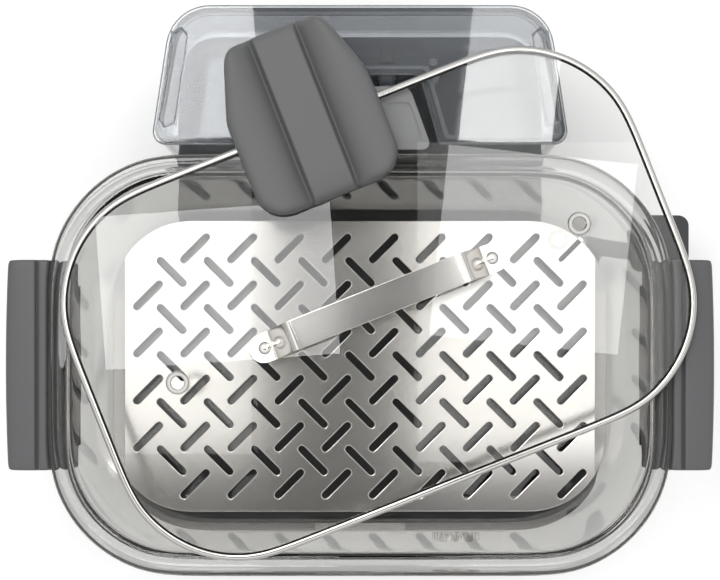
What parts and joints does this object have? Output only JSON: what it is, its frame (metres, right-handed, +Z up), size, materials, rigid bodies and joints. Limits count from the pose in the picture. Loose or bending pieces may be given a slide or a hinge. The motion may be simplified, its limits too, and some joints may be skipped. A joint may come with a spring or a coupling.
{
  "type": "electric glass food steamer",
  "caption": "Electric countertop steamer: oblong glass pot with handles on a heated base, steel tray, rear water tank, and a glass lid with strap handle and steam hood lying turned across it.",
  "frame": {"origin": "on the table under the middle of the whole steamer's box", "axes": "+X to the right as seen from the front, +Y to the rear, where the water tank is, +Z up"},
  "size_m": [0.4338, 0.3477, 0.2134],
  "materials": {
    "housing_plastic": "dark grey moulded plastic, fine satin texture",
    "handle_plastic": "dark grey satin plastic",
    "hood_plastic": "mid grey satin plastic",
    "platform_plastic": "light grey satin plastic",
    "pot_glass": "clear tempered glass, faint green edge",
    "lid_glass": "clear tempered flat glass",
    "tank_plastic": "clear smoke-tinted plastic",
    "polished_steel": "polished stainless steel",
    "brushed_steel": "fine satin stainless steel sheet",
    "cast_aluminium": "sand-cast aluminium",
    "rubber": "black rubber",
    "silicone": "grey food-grade silicone",
    "hose": "milky silicone hose",
    "display_lens": "black gloss lens",
    "circuit_board": "green solder mask",
    "white_plastic": "white float plastic"
  },
  "bodies": {
    "base": {"base_housing": "housing_plastic", "base_top_plate": "housing_plastic", "bottom_cover": "housing_plastic", "rubber_feet": "rubber", "housing_screws": "polished_steel", "pot_rest_pads": "silicone", "front_panel": "brushed_steel", "top_trim": "brushed_steel", "display_bezel": "housing_plastic", "display_window": "display_lens", "display_module": "display_lens", "control_board": "circuit_board", "knob_encoder": "cast_aluminium", "tower_shell": "housing_plastic", "outlet_platform": "platform_plastic", "nozzle_seal": "silicone", "steam_duct": "polished_steel", "steam_generator": "cast_aluminium", "heating_element": "cast_aluminium", "thermostat": "rubber", "feed_hose": "hose", "tank_spigot": "platform_plastic", "spigot_seal": "rubber", "cord_gland": "rubber", "drain_pipe": "platform_plastic", "drain_tap": "housing_plastic"},
    "start_button": {"start_button": "polished_steel"},
    "menu_button": {"menu_button": "polished_steel"},
    "knob": {"control_knob": "polished_steel"},
    "drain_lever": {"drain_lever": "housing_plastic"},
    "pot": {"glass_pot": "pot_glass", "handle_left": "handle_plastic", "handle_right": "handle_plastic", "handle_clamps": "handle_plastic", "handle_screws": "polished_steel"},
    "tray": {"steam_tray": "brushed_steel"},
    "lid": {"lid_glass": "lid_glass", "lid_rim": "polished_steel", "strap_handle": "polished_steel", "strap_washers": "silicone", "strap_rivets": "polished_steel", "vent_eyelets": "polished_steel", "hood_cover": "hood_plastic", "hood_duct": "housing_plastic", "hood_seal": "silicone", "hood_screws": "polished_steel"},
    "tank": {"tank_body": "tank_plastic", "tank_cover": "tank_plastic", "cover_gasket": "silicone", "tank_valve": "silicone", "float_post": "white_plastic"},
    "float": {"tank_float": "white_plastic"}
  },
  "joints": [
    {"name": "pot_lift", "type": "slide", "parent": "base", "child": "pot", "axis": [0, 0, 1], "range_m": [0, 0.1]},
    {"name": "tray_lift", "type": "slide", "parent": "pot", "child": "tray", "axis": [0, 0, 1], "range_m": [0, 0.09]},
    {"name": "lid_lift", "type": "slide", "parent": "tray", "child": "lid", "axis": [0, 0, 1], "range_m": [0, 0.12]},
    {"name": "tank_pull", "type": "slide", "parent": "base", "child": "tank", "axis": [0, 1, 0], "range_m": [0, 0.12]},
    {"name": "float_rise", "type": "slide", "parent": "tank", "child": "float", "axis": [0, 0, 1], "range_m": [0, 0.05]},
    {"name": "start_press", "type": "slide", "parent": "base", "child": "start_button", "axis": [0, 1, 0], "range_m": [0, 0.0015], "stiffness_N_per_m": 400},
    {"name": "menu_press", "type": "slide", "parent": "base", "child": "menu_button", "axis": [0, 1, 0], "range_m": [0, 0.0015], "stiffness_N_per_m": 400},
    {"name": "knob_turn", "type": "hinge", "parent": "base", "child": "knob", "pos_m": [0.064, -0.1601, 0.05], "axis": [0, -1, 0], "continuous": true},
    {"name": "drain_turn", "type": "hinge", "parent": "base", "child": "drain_lever", "pos_m": [0.199, 0.0369, 0.05], "axis": [0, 0, 1], "range_deg": [0, 90]}
  ]
}
